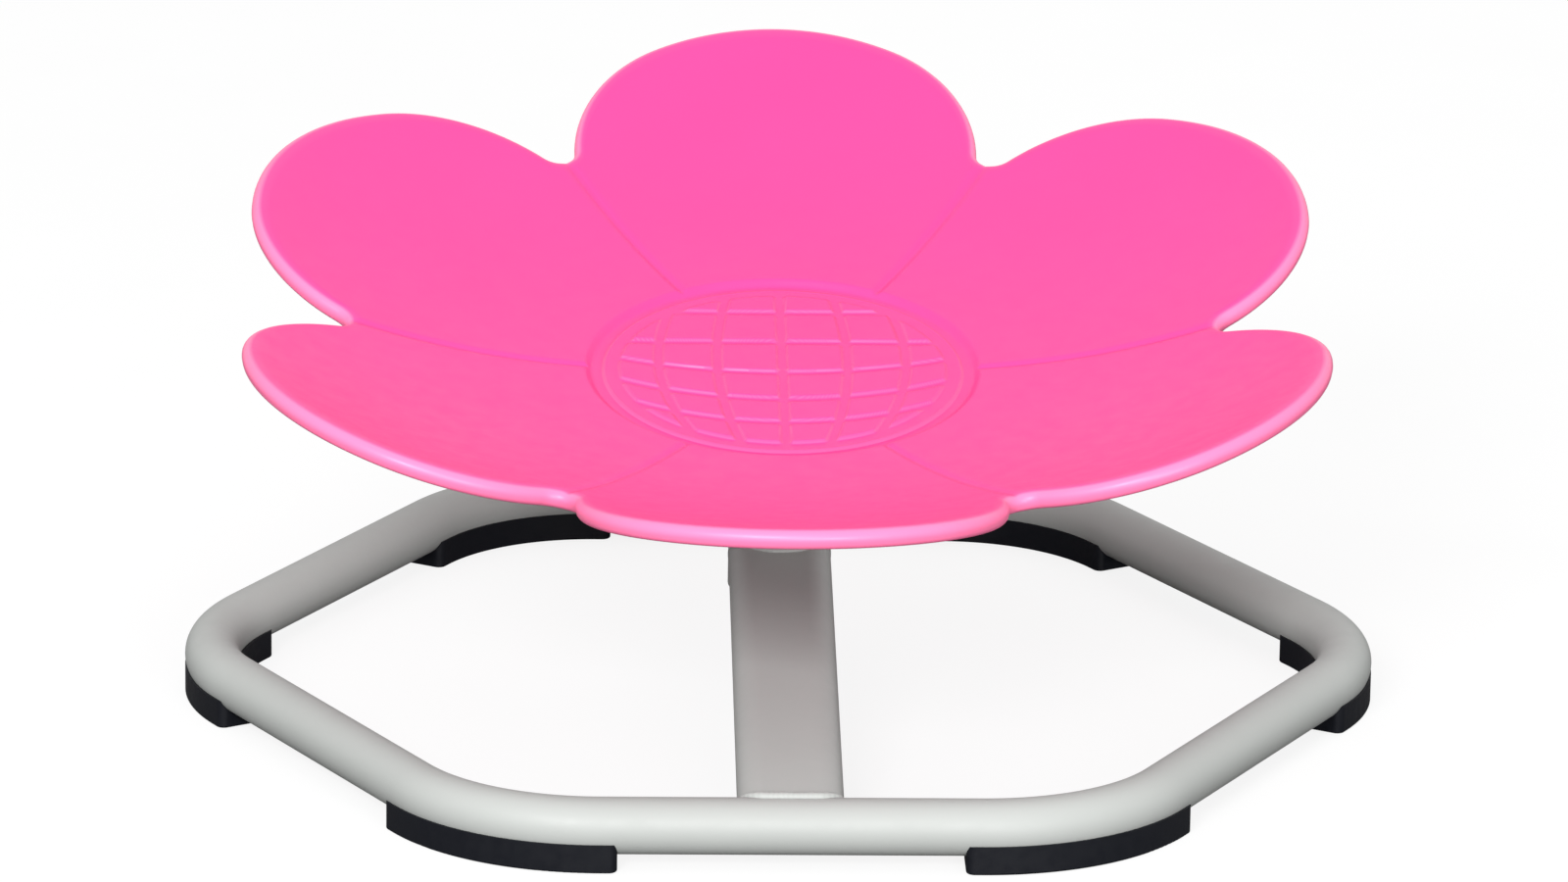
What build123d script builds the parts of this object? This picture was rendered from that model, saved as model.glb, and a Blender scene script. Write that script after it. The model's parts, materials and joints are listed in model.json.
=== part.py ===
from build123d import *
from math import asin, atan2, cos, degrees, radians, sin, sqrt, tan
import os

# A child's spinning flower seat, also sold as a sit-and-spin carousel or merry go round.
# A bent-tube hexagon lies on the floor on six moulded pads. A flat-oval arm rises from the
# middle of its front side and carries a bearing hub, whose axis leans towards the front.
# A hollow flower-shaped dish turns on two ball bearings in that hub.
# Millimetres and degrees. +X right, +Y back, +Z up. The floor is Z = 0.
# "Seat frame" below means the leaning frame of the dish: its origin is the middle of the
# dish's upper surface, its z is the spin axis, and its y runs back along the arm.

# ---------------------------------------------------------------- driving dimensions
# Base ring
ring_sides = 6
ring_circumradius = 350.0      # tube centreline, to the sharp corners
tube_diameter = 32.0
tube_wall = 2.0
bend_radius = 118.0            # tube centreline

# Foot pads, one under each bend
pad_sole = 7.0                 # rubber under the lowest line of the tube
pad_height = 16.5
pad_run_out = 10.0             # how far a pad runs past each end of its bend
pad_end_rounding = 5.0
pad_edge_rounding = 1.2
pad_clearance = 0.15
pad_screw_angle = 18.0         # each side of the middle of the bend
screw_shank_diameter = 4.2
screw_length = 13.0            # under the head
screw_head_diameter = 8.0
screw_head_height = 2.6
screw_head_recess = 4.0        # sole face to the underside of the head's seat

# Seat dish
seat_height = 196.5            # middle of the dish above the floor
seat_set_back = 4.5            # middle of the dish behind the ring's centre
seat_tilt = 9.7
petal_count = 6
petal_reach = 336.0            # spin axis to the tip of a petal
petal_tip_radius = 147.0       # a petal ends in a wide arc
petal_tip_half_angle = 30.0
petal_shoulder_radius = 95.0   # with a tighter arc on each side of it
notch_radius = 12.0
flat_radius = 75.0             # the dish is flat out to here
dish_radius = 525.0            # and rises on this arc beyond
lip_thickness = 11.5
lip_rounding = 5.2
skin = 4.0                     # wall of the hollow moulding
boss_radius = 78.0
boss_depth = 22.0              # upper surface to the boss's underside
petal_groove_width = 6.5
petal_groove_depth = 1.6
petal_groove_margin = 6.0      # a petal groove fades out this far from the rounded lip
medallion_radius = 104.0
ring_groove_width = 9.0
ring_groove_depth = 1.5

# Seat mounting
plate_radius = 72.0
plate_thickness = 6.0
bolt_count = 6
bolt_circle_radius = 55.0
bolt_diameter = 8.0
bolt_engagement = 8.4         # thread inside each insert
bolt_head_flats = 13.0
bolt_head_height = 5.3
washer_radius = 8.0
washer_thickness = 1.6
insert_radius = 6.0
insert_length = 11.0
insert_waist = 0.8

# Arm
arm_width = 60.0
arm_thickness = 30.0
arm_wall = 2.5
arm_stop_short = 6.0           # the arm's side walls end this far ahead of the spin axis
weld_leg = 3.5
cut_clearance = 0.1            # between a notched tube end and the tube that it meets

# Hub and bearings (a light deep-groove bearing, 25 x 52 x 15)
hub_diameter = 60.0
hub_gap = 8.0                  # mounting plate to the top of the hub
hub_below_arm = 5.0
top_recess = 6.0               # hub top to the upper bearing
bottom_recess = 7.0            # hub bottom to the lower bearing
shoulder_radius = 23.0
bearing_bore = 25.0
bearing_outside = 52.0
bearing_width = 15.0
bearing_pitch_radius = 19.25
ball_diameter = 7.94
ball_count = 9
ball_clearance = 0.25
inner_shoulder_radius = 16.5
outer_shoulder_radius = 22.0
cage_thickness = 2.4
cage_width = 10.0
pocket_clearance = 0.1
shield_thickness = 0.8
shield_inset = 0.4
running_gap = 0.4              # turning pieces clear their fixed neighbours by this much
fit_clearance = 0.02           # radial, between pieces that turn or stand still together
collar_radius = 17.0
spigot_radius = 12.0
spindle_chamfer = 1.5
spindle_weld_leg = 4.0
sleeve_radius = 15.0
end_bolt_diameter = 10.0
end_bolt_length = 22.0
end_bolt_flats = 17.0
end_bolt_head_height = 6.4
end_washer_radius = 17.0
end_washer_thickness = 3.0
circlip_thickness = 2.0
circlip_groove_depth = 1.5
circlip_inner_radius = 22.8
circlip_opening = 40.0
seal_thickness = 4.0
seal_below_top = 1.0
cap_flange = 2.0
cap_skirt_height = 4.0
cap_skirt_wall = 2.0
cap_depth = 8.0                # hub bottom to the cap's lowest face

# The stand is set back a little, so that the whole object is centred on the origin.
ring_centre_y = 5.6

# ---------------------------------------------------------------- derived sizes
side_angle = 360.0 / ring_sides
half_side = radians(side_angle / 2)
tube_radius = tube_diameter / 2
apothem = ring_circumradius * cos(half_side)
bend_centre_radius = ring_circumradius - bend_radius / cos(half_side)
straight_length = 2 * ring_circumradius * sin(half_side) - 2 * bend_radius * tan(half_side)
tube_axis_height = pad_sole + tube_radius

tilt = radians(seat_tilt)
front_dy = -apothem - seat_set_back
front_dz = tube_axis_height - seat_height
arm_start_y = front_dy * cos(tilt) + front_dz * sin(tilt)
arm_axis_z = front_dz * cos(tilt) - front_dy * sin(tilt)

dish_bottom_radius = dish_radius + lip_thickness
petal_pitch = 360.0 / petal_count
prism_height = petal_reach / 2   # taller than the dish is deep

plate_top = -boss_depth
bolt_length = washer_thickness + plate_thickness + bolt_engagement
collar_top = plate_top - plate_thickness
hub_radius = hub_diameter / 2
hub_top = collar_top - hub_gap
hub_bottom = arm_axis_z - arm_thickness / 2 - hub_below_arm
upper_bearing_z = hub_top - top_recess - bearing_width / 2
lower_bearing_z = hub_bottom + bottom_recess + bearing_width / 2
lower_bearing_bottom = lower_bearing_z - bearing_width / 2
bearing_seat_radius = bearing_outside / 2 + fit_clearance
shaft_radius = bearing_bore / 2 - fit_clearance
ball_radius = ball_diameter / 2
spindle_end = lower_bearing_bottom + 0.5

stand = Pos(0, ring_centre_y, 0)
seat_frame = Location((0, ring_centre_y + seat_set_back, seat_height), (seat_tilt, 0, 0))


# ---------------------------------------------------------------- helpers
def polar(radius, degrees, z=0.0):
    """A location at the given radius and angle, turned to face outwards."""
    angle = radians(degrees)
    return Location((radius * cos(angle), radius * sin(angle), z), (0, 0, degrees))


def spun(points):
    """A solid of revolution about z from (radius, z) points."""
    profile = make_face(Plane.XZ * Polyline(*points, close=True))
    return revolve(profile, axis=Axis.Z)


def tube(outer, inner, bottom, top):
    """A plain sleeve between two heights."""
    return spun([(inner, bottom), (outer, bottom), (outer, top), (inner, top)])


def rod(radius, bottom, top):
    """A plain round bar between two heights."""
    return Pos(0, 0, (bottom + top) / 2) * Cylinder(radius, top - bottom)


def around(shape, count, radius, z=0.0, start=0.0):
    """Copies of a shape on a circle about z."""
    return [polar(radius, start + 360.0 * k / count, z) * shape for k in range(count)]


def bent_bar(bend, radius, angle, start=0.0):
    """Part of a torus about z, from one angle onwards."""
    return Rot(0, 0, start) * revolve(Plane.XZ * Pos(bend, 0) * Circle(radius), Axis.Z, angle)


def hex_bar(flats, bottom, top):
    """A hexagonal bar, as in a bolt head."""
    return Pos(0, 0, bottom) * extrude(RegularPolygon(flats / 2, 6, major_radius=False), top - bottom)


# ---------------------------------------------------------------- base ring
def ring_bar(radius):
    """A solid bar that follows the ring's centreline, bends and straights."""
    pieces = []
    for k in range(ring_sides):
        corner = side_angle * k
        bend = bent_bar(bend_radius, radius, side_angle, -side_angle / 2)
        pieces.append(polar(bend_centre_radius, corner, tube_axis_height) * bend)
        straight = Rot(90, 0, 0) * Cylinder(radius, straight_length)
        pieces.append(polar(apothem, corner + side_angle / 2, tube_axis_height) * straight)
    return Part() + pieces


def screw_places():
    """Where the pad screws stand, seen from the middle of a bend's circle."""
    return [polar(bend_radius, side * pad_screw_angle) for side in (-1, 1)]


def bend_place(k):
    """The centre of bend k, turned so that its middle points outwards."""
    return polar(bend_centre_radius, side_angle * k)


def base_ring():
    pilot = screw_shank_diameter / 2 + fit_clearance
    holes = [bend_place(k) * place * rod(pilot, 0, tube_axis_height)
             for k in range(ring_sides) for place in screw_places()]
    return ring_bar(tube_radius) - ring_bar(tube_radius - tube_wall) - holes


def foot_pad(k):
    """A moulded cradle under one bend, with its ends run out along the straights."""
    outer = bend_radius + tube_radius
    inner = bend_radius - tube_radius
    reach = 2 * outer
    wedge = make_face(Polyline(
        (0, 0),
        (reach * cos(half_side), -reach * sin(half_side)),
        (reach * cos(half_side), reach * sin(half_side)),
        close=True))
    plan = (Circle(outer) - Circle(inner)) & wedge
    for side in (-1, 1):
        end = Rot(0, 0, side * side_angle / 2) * Pos(bend_radius, side * pad_run_out / 2)
        plan += end * Rectangle(tube_diameter, pad_run_out)
    corners = []
    for side in (-1, 1):
        direction = Vector(0, side, 0).rotate(Axis.Z, side * side_angle / 2)
        corners += plan.vertices().sort_by(lambda v: -Vector(v.X, v.Y, v.Z).dot(direction))[:2]
    plan = fillet(corners, pad_end_rounding)
    pad = extrude(plan, pad_height)
    pad = fillet(pad.faces().sort_by(Axis.Z)[0].edges(), pad_edge_rounding)
    for place in screw_places():
        pad -= place * rod(screw_head_diameter / 2 + running_gap, 0, screw_head_recess)
        pad -= place * rod(screw_shank_diameter / 2 + fit_clearance, 0, pad_height)
    return bend_place(k) * pad - ring_bar(tube_radius + pad_clearance)


def pad_screws():
    """Pan-head screws from below, all alike."""
    head_seat = screw_head_recess
    screw = fillet(rod(screw_head_diameter / 2, head_seat - screw_head_height, head_seat)
                   .edges().sort_by(Axis.Z)[0], 1.0)
    screw += rod(screw_shank_diameter / 2, head_seat, head_seat + screw_length)
    return [bend_place(k) * place * screw for k in range(ring_sides) for place in screw_places()]


# ---------------------------------------------------------------- arm, hub and welds
def arm_bar(grow, start, stop):
    """A flat-oval bar on the arm's axis, in the seat frame, from one y to another."""
    section = Plane(origin=(0, start, arm_axis_z), x_dir=(1, 0, 0), z_dir=(0, 1, 0))
    return extrude(section * SlotOverall(arm_width + 2 * grow, arm_thickness + 2 * grow), stop - start)


def front_bar(radius):
    """A bar along the ring's front side, in the stand's frame."""
    return Pos(0, -apothem, tube_axis_height) * Rot(0, 90, 0) * Cylinder(radius, straight_length)


def arm_tube():
    """The arm, notched over the front tube and round the hub."""
    arm = arm_bar(0, arm_start_y, -arm_stop_short) - arm_bar(-arm_wall, arm_start_y, -arm_stop_short)
    arm -= rod(hub_radius + cut_clearance, hub_bottom, hub_top)
    return seat_frame * arm - stand * front_bar(tube_radius + cut_clearance)


def arm_front_weld():
    """A bead round the arm where it meets the front tube."""
    sleeve = arm_bar(weld_leg, arm_start_y + 2, arm_start_y + 2 * tube_radius)
    sleeve -= arm_bar(0, arm_start_y, 0)
    return (seat_frame * sleeve & stand * front_bar(tube_radius + weld_leg)) - stand * front_bar(tube_radius)


def hub_weld():
    """A bead round the arm where it meets the hub."""
    sleeve = arm_bar(weld_leg, -hub_radius - 2 * weld_leg, -arm_stop_short) - arm_bar(0, arm_start_y, 0)
    band = rod(hub_radius + weld_leg, hub_bottom, hub_top) - rod(hub_radius, hub_bottom, hub_top)
    return seat_frame * (sleeve & band)


def hub_housing():
    """A turned housing with a bearing seat at each end and a groove for the circlip."""
    seat = bearing_seat_radius
    upper_shoulder = upper_bearing_z - bearing_width / 2
    lower_shoulder = lower_bearing_z + bearing_width / 2
    groove_top = lower_bearing_bottom
    groove_bottom = groove_top - circlip_thickness - 0.1
    groove = bearing_outside / 2 + circlip_groove_depth
    return spun([
        (seat, hub_top), (hub_radius, hub_top), (hub_radius, hub_bottom), (seat, hub_bottom),
        (seat, groove_bottom), (groove, groove_bottom), (groove, groove_top), (seat, groove_top),
        (seat, lower_shoulder), (shoulder_radius, lower_shoulder),
        (shoulder_radius, upper_shoulder), (seat, upper_shoulder)])


def hub_seal():
    """A rubber ring pressed into the top of the hub, with a lip round the collar."""
    top = hub_top - seal_below_top
    outer = bearing_outside / 2
    inner = collar_radius + running_gap
    return spun([
        (inner, top), (inner + 1.2, top), (inner + 2.2, top - seal_thickness + 1.6),
        (outer, top - seal_thickness + 1.6), (outer, top - seal_thickness),
        (inner + 1.2, top - seal_thickness)])


def bearing_circlip():
    """An internal retaining ring with two pierced lugs."""
    outer = bearing_outside / 2 + circlip_groove_depth - 0.1
    ring = tube(outer, circlip_inner_radius, lower_bearing_bottom - circlip_thickness, lower_bearing_bottom)
    gap = Pos(0, -hub_radius, lower_bearing_z) * Box(
        2 * hub_radius * sin(radians(circlip_opening / 2)), 2 * hub_radius, 3 * bearing_width)
    ring -= gap
    lug_place = circlip_inner_radius - 0.6
    for side in (-1, 1):
        place = polar(lug_place, -90 + side * (circlip_opening / 2 + 7), lower_bearing_bottom)
        ring += place * rod(2.6, -circlip_thickness, 0)
        ring -= place * rod(1.2, -circlip_thickness, 0)
    return ring


def hub_bottom_cap():
    """A push-in cap that closes the hub and clears the spindle's end bolt."""
    skirt = bearing_outside / 2 - fit_clearance
    return spun([
        (skirt, hub_bottom), (skirt, hub_bottom + cap_skirt_height),
        (skirt - cap_skirt_wall, hub_bottom + cap_skirt_height),
        (skirt - cap_skirt_wall, hub_bottom - cap_depth + cap_flange),
        (0, hub_bottom - cap_depth + cap_flange), (0, hub_bottom - cap_depth),
        (skirt - cap_flange, hub_bottom - cap_depth), (skirt, hub_bottom - cap_depth / 2),
        (hub_radius - 1, hub_bottom - cap_flange), (hub_radius, hub_bottom - cap_flange / 2),
        (hub_radius, hub_bottom)])


# ---------------------------------------------------------------- ball bearings
def raceway():
    """The torus that the balls run in."""
    return Torus(bearing_pitch_radius, ball_radius + ball_clearance)


def outer_ring(z):
    ring = tube(bearing_outside / 2, outer_shoulder_radius, -bearing_width / 2, bearing_width / 2)
    return Pos(0, 0, z) * (ring - raceway())


def inner_ring(z):
    ring = tube(inner_shoulder_radius, bearing_bore / 2, -bearing_width / 2, bearing_width / 2)
    return Pos(0, 0, z) * (ring - raceway())


def balls(z):
    return around(Sphere(ball_radius), ball_count, bearing_pitch_radius, z)


def cage(z):
    """A moulded band with a pocket for each ball."""
    band = tube(bearing_pitch_radius + cage_thickness / 2, bearing_pitch_radius - cage_thickness / 2,
                -cage_width / 2, cage_width / 2)
    pocket = Rot(0, 90, 0) * Cylinder(ball_radius + pocket_clearance, 2 * cage_thickness)
    pockets = around(pocket, ball_count, bearing_pitch_radius)
    return Pos(0, 0, z) * (band - pockets)


def shields(z):
    """The two thin shields that close a bearing's faces."""
    pair = []
    for side in (-1, 1):
        middle = side * (bearing_width / 2 - shield_inset - shield_thickness / 2)
        disc = tube(outer_shoulder_radius - fit_clearance, inner_shoulder_radius + running_gap,
                    -shield_thickness / 2, shield_thickness / 2)
        pair.append(Pos(0, 0, z + middle) * disc)
    return pair


# ---------------------------------------------------------------- turning assembly
def spindle():
    """The turned axle, with a collar on the upper bearing and a tapped lower end."""
    end = spindle_end
    shaft_top = upper_bearing_z + bearing_width / 2
    body = spun([
        (0, plate_top - 0.5), (spigot_radius, plate_top - 0.5), (spigot_radius, collar_top),
        (collar_radius, collar_top), (collar_radius, shaft_top), (shaft_radius, shaft_top),
        (shaft_radius, end + spindle_chamfer), (shaft_radius - spindle_chamfer, end), (0, end)])
    return body - rod(end_bolt_diameter / 2 + fit_clearance, end, end + end_bolt_length)


def spindle_weld():
    """The fillet weld between the spindle's collar and the mounting plate."""
    return spun([(collar_radius, collar_top), (collar_radius + spindle_weld_leg, collar_top),
                 (collar_radius, collar_top - spindle_weld_leg)])


def bearing_spacer():
    """A sleeve that holds the two inner rings apart."""
    return tube(sleeve_radius, shaft_radius + fit_clearance,
                lower_bearing_z + bearing_width / 2, upper_bearing_z - bearing_width / 2)


def spindle_washer():
    return tube(end_washer_radius, end_bolt_diameter / 2 + running_gap,
                lower_bearing_bottom - end_washer_thickness, lower_bearing_bottom)


def spindle_bolt():
    """The hexagon bolt that clamps the inner rings up against the collar."""
    under_head = lower_bearing_bottom - end_washer_thickness
    return (hex_bar(end_bolt_flats, under_head - end_bolt_head_height, under_head)
            + rod(end_bolt_diameter / 2, under_head, under_head + end_bolt_length))


def mounting_plate():
    plate = fillet(rod(plate_radius, collar_top, plate_top).edges(), 1.0)
    hole = rod(bolt_diameter / 2 + running_gap, collar_top, plate_top)
    return (plate - rod(spigot_radius + fit_clearance, collar_top, plate_top)
            - around(hole, bolt_count, bolt_circle_radius))


def mounting_washers():
    washer = tube(washer_radius, bolt_diameter / 2 + running_gap, collar_top - washer_thickness, collar_top)
    return around(washer, bolt_count, bolt_circle_radius)


def mounting_bolts():
    """The bolts that hold the dish to the plate, heads down."""
    under_head = collar_top - washer_thickness
    bolt = (hex_bar(bolt_head_flats, under_head - bolt_head_height, under_head)
            + rod(bolt_diameter / 2, under_head, under_head + bolt_length))
    return around(bolt, bolt_count, bolt_circle_radius)


def seat_inserts():
    """Brass bushes moulded into the boss, waisted so that they can't pull out."""
    bore = bolt_diameter / 2 + fit_clearance
    third = insert_length / 3
    insert = spun([
        (bore, plate_top), (insert_radius, plate_top), (insert_radius, plate_top + third),
        (insert_radius - insert_waist, plate_top + third),
        (insert_radius - insert_waist, plate_top + 2 * third),
        (insert_radius, plate_top + 2 * third), (insert_radius, plate_top + insert_length),
        (bore, plate_top + insert_length)])
    return around(insert, bolt_count, bolt_circle_radius)


# ---------------------------------------------------------------- seat dish
def arc_height(radius, arc_radius, level):
    """Height of a dish surface that is flat at the given level and then rises on an arc."""
    run = max(radius - flat_radius, 0)
    return level + arc_radius - sqrt(arc_radius ** 2 - run ** 2)


def dish_slab(top_radius, top_level, bottom_radius, bottom_level, inner):
    """The body between two dish surfaces, turned about the spin axis from an inner radius."""
    rim = petal_reach + lip_thickness
    start = max(inner, flat_radius)
    middle = (start + rim) / 2
    outline = []
    for arc_radius, level in ((top_radius, top_level), (bottom_radius, bottom_level)):
        if inner < flat_radius:
            outline.append(Line((inner, level), (flat_radius, level)))
        outline.append(ThreePointArc(
            (start, arc_height(start, arc_radius, level)),
            (middle, arc_height(middle, arc_radius, level)),
            (rim, arc_height(rim, arc_radius, level))))
    for radius in (inner, rim):
        outline.append(Line((radius, arc_height(radius, top_radius, top_level)),
                            (radius, arc_height(radius, bottom_radius, bottom_level))))
    return revolve(Plane.XZ * make_face(outline), axis=Axis.Z)


def shoulder_centre():
    """Centre of the shoulder arc on the left of the petal that points along X."""
    angle = radians(petal_tip_half_angle)
    spread = petal_tip_radius - petal_shoulder_radius
    return Vector(petal_reach - petal_tip_radius + spread * cos(angle), spread * sin(angle))


def notch_centre():
    """Centre of the circle that rounds the notch on the left of the petal along X."""
    shoulder = shoulder_centre()
    line = Vector(1, 0).rotate(Axis.Z, petal_pitch / 2)
    along = shoulder.dot(line)
    reach = petal_shoulder_radius + notch_radius
    return line * (along + sqrt(along ** 2 - shoulder.length ** 2 + reach ** 2))


def flower(inset):
    """The flower's plan, drawn in by the given amount all round."""
    shoulder = shoulder_centre()
    notch = notch_centre()
    swing = degrees(atan2(notch.Y - shoulder.Y, notch.X - shoulder.X))
    half = petal_tip_half_angle
    tip = (petal_reach - petal_tip_radius, 0)
    bend = petal_shoulder_radius - inset
    petal = [
        CenterArc((shoulder.X, -shoulder.Y), bend, -swing, swing - half),
        CenterArc(tip, petal_tip_radius - inset, -half, 2 * half),
        CenterArc((shoulder.X, shoulder.Y), bend, half, swing - half),
        CenterArc((notch.X, notch.Y), notch_radius + inset, swing + 180, petal_pitch - 2 * swing),
    ]
    turns = [petal_pitch * (k + 0.5) for k in range(petal_count)]
    return make_face([Rot(0, 0, turn) * arc for turn in turns for arc in petal])


def groove_bar(width, depth):
    """Radius and lift of the round bar that cuts a groove of this width and depth."""
    radius = ((width / 2) ** 2 + depth ** 2) / (2 * depth)
    return radius, radius - depth


def dish_grooves():
    """Cutters for the groove round the medallion and the one between each two petals."""
    radius, lift = groove_bar(ring_groove_width, ring_groove_depth)
    place = medallion_radius + ring_groove_width / 2
    cutters = [Pos(0, 0, arc_height(place, dish_radius, 0) + lift) * Torus(place, radius)]
    radius, lift = groove_bar(petal_groove_width, petal_groove_depth)
    first = degrees(asin((medallion_radius + ring_groove_width - flat_radius) / dish_radius))
    notch_bottom = notch_centre().length - notch_radius
    last = degrees(asin((notch_bottom - lip_rounding - petal_groove_margin - flat_radius) / dish_radius))
    bar = bent_bar(dish_radius - lift, radius, last - first, first)
    upright = Plane(origin=(flat_radius, 0, dish_radius), x_dir=(0, 0, -1), z_dir=(0, -1, 0))
    for k in range(petal_count):
        cutters.append(Rot(0, 0, petal_pitch * k) * upright.location * bar)
    return cutters


def seat_boss():
    """The thick middle of the dish, with a flare that runs out into its underside."""
    flare = boss_depth - lip_thickness
    joined = skin / 2 - lip_thickness
    return spun([(0, -boss_depth), (boss_radius, -boss_depth), (boss_radius + flare, -lip_thickness),
                 (boss_radius + flare, joined), (0, joined)])


def seat_cavity():
    """The hollow between the dish's two skins, outside its boss."""
    start = boss_radius + boss_depth - lip_thickness + skin
    slab = dish_slab(dish_radius + skin, -skin, dish_bottom_radius - skin, skin - lip_thickness, start)
    return slab & Pos(0, 0, -boss_depth) * extrude(flower(lip_rounding), prism_height)


def insert_pockets():
    """Room in the boss for the inserts."""
    pocket = rod(insert_radius + fit_clearance, plate_top, plate_top + insert_length)
    return around(pocket, bolt_count, bolt_circle_radius)


def seat_shell():
    """The hollow moulded dish, its boss, its grooves and the pockets of its inserts."""
    prism = Pos(0, 0, -boss_depth) * extrude(flower(0), prism_height)
    dish = dish_slab(dish_radius, 0, dish_bottom_radius, -lip_thickness, 0) & prism
    dish = fillet([edge for edge in dish.edges() if edge.center().Z > lip_rounding], lip_rounding)
    socket = rod(spigot_radius + running_gap, plate_top, plate_top + 1)
    return dish + seat_boss() - dish_grooves() - seat_cavity() - insert_pockets() - socket


# ---------------------------------------------------------------- nodes
pad_names = ["foot_right", "foot_rear_right", "foot_rear_left",
             "foot_left", "foot_front_left", "foot_front_right"]


def stand_nodes():
    """Pieces of the ring and its pads, which lie level."""
    nodes = {"ring_tube": base_ring(), "foot_screws": pad_screws()}
    for k, name in enumerate(pad_names):
        nodes[name] = foot_pad(k)
    return nodes


def leaning_nodes():
    """Pieces of the hub and the dish, which lean with the spin axis."""
    return {
        "hub_housing": hub_housing(),
        "hub_seal": hub_seal(),
        "hub_bottom_cap": hub_bottom_cap(),
        "bearing_circlip": bearing_circlip(),
        "upper_bearing_outer_ring": outer_ring(upper_bearing_z),
        "lower_bearing_outer_ring": outer_ring(lower_bearing_z),
        "upper_bearing_inner_ring": inner_ring(upper_bearing_z),
        "lower_bearing_inner_ring": inner_ring(lower_bearing_z),
        "upper_bearing_shields": shields(upper_bearing_z),
        "lower_bearing_shields": shields(lower_bearing_z),
        "upper_bearing_cage": cage(upper_bearing_z),
        "lower_bearing_cage": cage(lower_bearing_z),
        "upper_bearing_balls": balls(upper_bearing_z),
        "lower_bearing_balls": balls(lower_bearing_z),
        "bearing_spacer": bearing_spacer(),
        "spindle": spindle(),
        "spindle_weld": spindle_weld(),
        "spindle_washer": spindle_washer(),
        "spindle_bolt": spindle_bolt(),
        "mounting_plate": mounting_plate(),
        "mounting_bolts": mounting_bolts(),
        "mounting_washers": mounting_washers(),
        "seat_inserts": seat_inserts(),
        "seat_shell": seat_shell(),
    }


def write_node(name, shape, place):
    """Write one node, as a single solid or as a group of separate ones."""
    solids = shape if isinstance(shape, list) else [shape]
    solids = [place * solid for solid in solids]
    whole = Compound(children=solids) if len(solids) > 1 else solids[0]
    export_step(whole, f"parts/{name}.step")


os.makedirs("parts", exist_ok=True)
for node_name, node_shape in stand_nodes().items():
    write_node(node_name, node_shape, stand)
for node_name, node_shape in leaning_nodes().items():
    write_node(node_name, node_shape, seat_frame)
write_node("arm_tube", arm_tube(), Location())
write_node("arm_front_weld", arm_front_weld(), Location())
write_node("hub_weld", hub_weld(), Location())
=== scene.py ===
import json
from math import atan2, cos, pi, radians, sin, sqrt
import bpy
import numpy as np
from mathutils import Matrix, Vector


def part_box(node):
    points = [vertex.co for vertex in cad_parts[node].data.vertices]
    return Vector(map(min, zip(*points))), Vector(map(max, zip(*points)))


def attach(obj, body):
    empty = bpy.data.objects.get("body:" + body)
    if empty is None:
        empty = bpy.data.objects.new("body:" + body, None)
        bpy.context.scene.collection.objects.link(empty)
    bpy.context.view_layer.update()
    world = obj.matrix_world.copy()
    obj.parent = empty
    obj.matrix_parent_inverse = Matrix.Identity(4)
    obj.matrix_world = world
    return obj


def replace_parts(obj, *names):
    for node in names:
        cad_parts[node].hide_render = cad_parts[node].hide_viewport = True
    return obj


# A flower-shaped spinning seat on a hexagonal tube base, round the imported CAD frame.
# Metres. The dish, the ring and the two weld beads are built here; every other piece is
# the CAD node with a procedural material. "Seat frame" means the leaning frame of the
# dish: u to the right, v back along the arm, w up the spin axis, from the middle of the
# dish's upper surface.

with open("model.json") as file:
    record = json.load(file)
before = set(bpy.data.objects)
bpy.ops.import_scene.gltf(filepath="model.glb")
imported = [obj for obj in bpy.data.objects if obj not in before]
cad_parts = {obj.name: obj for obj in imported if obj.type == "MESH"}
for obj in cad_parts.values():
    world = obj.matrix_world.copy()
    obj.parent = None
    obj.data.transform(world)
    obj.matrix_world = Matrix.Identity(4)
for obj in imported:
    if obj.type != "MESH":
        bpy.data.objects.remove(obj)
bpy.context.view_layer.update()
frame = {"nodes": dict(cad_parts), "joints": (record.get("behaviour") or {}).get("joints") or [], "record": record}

# ---------------------------------------------------------------- sizes shared with the CAD
PETALS = 6
PETAL_REACH = 0.336
PETAL_TIP_RADIUS = 0.147
PETAL_TIP_HALF_ANGLE = pi / 6
PETAL_SHOULDER_RADIUS = 0.095
NOTCH_RADIUS = 0.012
FLAT_RADIUS = 0.075
DISH_RADIUS = 0.525
LIP_THICKNESS = 0.0115
LIP_ROUNDING = 0.0052
ROLL_OFF_RUN = 0.0045           # the upper surface eases down over this width before the lip
ROLL_OFF_DROP = 0.0004
ROLL_OFF_SLOPE = 0.26
BOSS_RADIUS = 0.078
BOSS_DEPTH = 0.022
BOSS_EDGE = ((0.0020, 0.0018), (0.0008, 0.0004), (-0.0010, 0.0))       # rounding: out, up
MEDALLION_RADIUS = 0.104
RING_GROOVE_WIDTH = 0.009
TUBE_RADIUS = 0.016
BEND_RADIUS = 0.118
RING_SIDES = 6
ARM_WIDTH = 0.060
ARM_THICKNESS = 0.030
ARM_STOP_SHORT = 0.006
HUB_RADIUS = 0.030

# ---------------------------------------------------------------- sizes of the weld beads
BEAD_RADIUS = 0.0026
BEAD_STAND_OFF = 0.0004        # the bead's middle lies this far off the tube's surface
RIPPLE_HEIGHT = 0.06           # share of the bead's radius
UNEVENNESS = 0.05
FRONT_RIPPLES = 56
HUB_RIPPLES = 60
HUB_BEAD_THINNING = 0.88       # how much thinner the hub bead is at the hub's sides

# ---------------------------------------------------------------- surface noise
MOTTLE_SCALE = 9.0             # slow change of tint, waves to the metre
GRAINS_PER_PATCH = 12.0        # gloss changes over patches this many grains wide
NOISE_LOW, NOISE_HIGH = 0.3, 0.7                   # most of the noise lies between these
HIGHLIGHT_PINK = (1.0, 0.186, 0.385)                    # painted highlight colour on the dish's lip and medallion edges
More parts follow.
